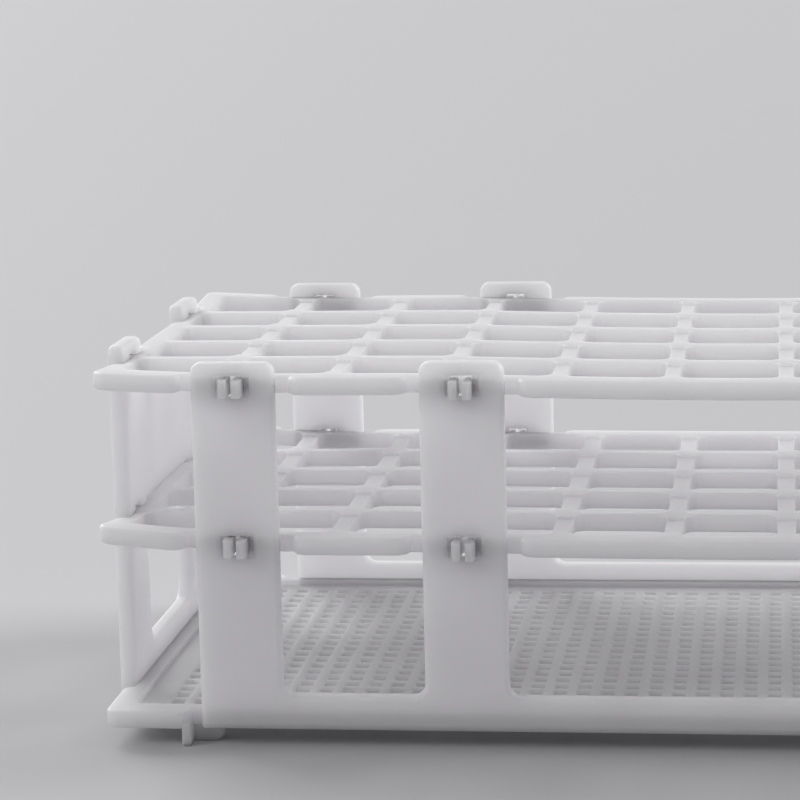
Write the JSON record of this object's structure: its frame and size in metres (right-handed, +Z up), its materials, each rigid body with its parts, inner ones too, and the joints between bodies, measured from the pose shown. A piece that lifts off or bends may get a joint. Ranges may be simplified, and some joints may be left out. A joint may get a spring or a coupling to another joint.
{
  "type": "test tube rack",
  "caption": "Snap-together white plastic rack with square cells in two tiers over a floor tray, held by four upright panels, for test tubes.",
  "frame": {"origin": "middle of the rack, on the surface that its feet stand on", "axes": "+X along the rack's length to the right, +Y across it from the front to the back, +Z up out of the cells"},
  "size_m": [0.242, 0.113, 0.0684],
  "materials": {
    "white_polypropylene": "satin, slightly translucent moulded polypropylene"
  },
  "bodies": {
    "root": {"front_panel": "white_polypropylene", "rear_panel": "white_polypropylene", "left_end_panel": "white_polypropylene", "right_end_panel": "white_polypropylene", "top_tier": "white_polypropylene", "middle_tier": "white_polypropylene", "base_tray": "white_polypropylene"}
  },
  "joints": []
}
